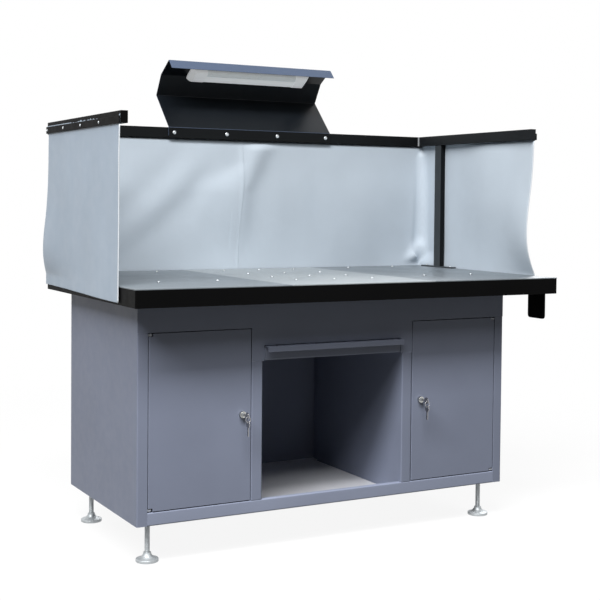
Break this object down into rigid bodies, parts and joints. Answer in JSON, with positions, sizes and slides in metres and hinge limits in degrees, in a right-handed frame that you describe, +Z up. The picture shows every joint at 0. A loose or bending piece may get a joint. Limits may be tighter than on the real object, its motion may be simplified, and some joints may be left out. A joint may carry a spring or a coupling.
{
  "type": "workbench with cabinet doors",
  "caption": "Steel workbench on levelling feet with lockable cabinet doors, a knee bay and lip drawer, a plated worktop, a cloth side and back screen and a hooded lamp.",
  "frame": {"origin": "on the floor, under the middle of the bench's overall length and depth", "axes": "+Z up, +X along the bench to the worker's right, -Y towards the worker"},
  "size_m": [1.5308, 0.9249, 1.5561],
  "materials": {
    "cabinet_paint": "satin grey-blue powder coat",
    "black_paint": "satin black",
    "top_steel": "dull",
    "centre_steel": "dull, paler",
    "zinc": "zinc plated",
    "lock_chrome": "bright nickel",
    "cloth": "coated woven cloth, faint sheen",
    "hood_paint": "satin",
    "lamp_white": "white",
    "lamp_diffuser": "frosted"
  },
  "bodies": {
    "bench": {"top_rim": "black_paint", "left_top_bearer": "top_steel", "right_top_bearer": "top_steel", "left_top_plate": "top_steel", "right_top_plate": "top_steel", "centre_top_plate": "centre_steel", "side_hanger_plate": "black_paint", "left_side_panel": "cabinet_paint", "right_side_panel": "cabinet_paint", "back_panel": "cabinet_paint", "base_pan": "cabinet_paint", "left_partition": "cabinet_paint", "right_partition": "cabinet_paint", "fascia": "cabinet_paint", "left_drawer_runner": "zinc", "right_drawer_runner": "zinc", "left_upper_hinge_eye": "zinc", "right_upper_hinge_eye": "zinc", "left_lower_hinge_eye": "zinc", "right_lower_hinge_eye": "zinc", "left_rail": "black_paint", "right_rail": "black_paint", "back_rail": "black_paint", "left_post": "black_paint", "right_post": "black_paint", "left_cloth": "cloth", "right_cloth": "cloth", "left_batten": "black_paint", "right_batten": "black_paint", "back_batten": "black_paint", "lamp_hood": "hood_paint", "hood_clamp_bar": "black_paint", "lamp_body": "lamp_white", "lamp_diffuser": "lamp_diffuser"},
    "left_door": {"left_door": "cabinet_paint", "left_upper_hinge_pivot": "zinc", "left_lower_hinge_pivot": "zinc", "left_lock_body": "lock_chrome"},
    "left_lock": {"left_lock_cam": "zinc", "left_key": "lock_chrome"},
    "left_spare": {"left_key_ring": "lock_chrome", "left_spare_key": "lock_chrome"},
    "right_door": {"right_door": "cabinet_paint", "right_upper_hinge_pivot": "zinc", "right_lower_hinge_pivot": "zinc", "right_lock_body": "lock_chrome"},
    "right_lock": {"right_lock_cam": "zinc", "right_key": "lock_chrome"},
    "right_spare": {"right_key_ring": "lock_chrome", "right_spare_key": "lock_chrome"},
    "drawer": {"drawer_front": "cabinet_paint", "drawer_box": "cabinet_paint"},
    "front_left_foot": {"front_left_foot_stem": "zinc", "front_left_foot_pad": "zinc"},
    "front_right_foot": {"front_right_foot_stem": "zinc", "front_right_foot_pad": "zinc"},
    "back_left_foot": {"back_left_foot_stem": "zinc", "back_left_foot_pad": "zinc"},
    "back_right_foot": {"back_right_foot_stem": "zinc", "back_right_foot_pad": "zinc"}
  },
  "joints": [
    {"name": "left_door_swing", "type": "hinge", "parent": "bench", "child": "left_door", "pos_m": [-0.6575, -0.34085, 0.4195], "axis": [0, 0, -1], "range_deg": [0, 100]},
    {"name": "right_door_swing", "type": "hinge", "parent": "bench", "child": "right_door", "pos_m": [0.5705, -0.34085, 0.4195], "axis": [0, 0, 1], "range_deg": [0, 100]},
    {"name": "left_lock_turn", "type": "hinge", "parent": "left_door", "child": "left_lock", "pos_m": [-0.3655, -0.34785, 0.4235], "axis": [0, -1, 0], "range_deg": [0, 90]},
    {"name": "right_lock_turn", "type": "hinge", "parent": "right_door", "child": "right_lock", "pos_m": [0.2785, -0.34785, 0.4235], "axis": [0, 1, 0], "range_deg": [0, 90]},
    {"name": "left_spare_swing", "type": "hinge", "parent": "left_lock", "child": "left_spare", "pos_m": [-0.3655, -0.39185, 0.4217], "axis": [1, 0, 0], "range_deg": [-60, 25]},
    {"name": "right_spare_swing", "type": "hinge", "parent": "right_lock", "child": "right_spare", "pos_m": [0.2785, -0.39185, 0.4217], "axis": [1, 0, 0], "range_deg": [-60, 25]},
    {"name": "drawer_slide", "type": "slide", "parent": "bench", "child": "drawer", "axis": [0, -1, 0], "range_m": [0, 0.4]},
    {"name": "front_left_foot_screw", "type": "slide", "parent": "bench", "child": "front_left_foot", "axis": [0, 0, -1], "range_m": [-0.03, 0.03]},
    {"name": "front_right_foot_screw", "type": "slide", "parent": "bench", "child": "front_right_foot", "axis": [0, 0, -1], "range_m": [-0.03, 0.03]},
    {"name": "back_left_foot_screw", "type": "slide", "parent": "bench", "child": "back_left_foot", "axis": [0, 0, -1], "range_m": [-0.03, 0.03]},
    {"name": "back_right_foot_screw", "type": "slide", "parent": "bench", "child": "back_right_foot", "axis": [0, 0, -1], "range_m": [-0.03, 0.03]}
  ]
}
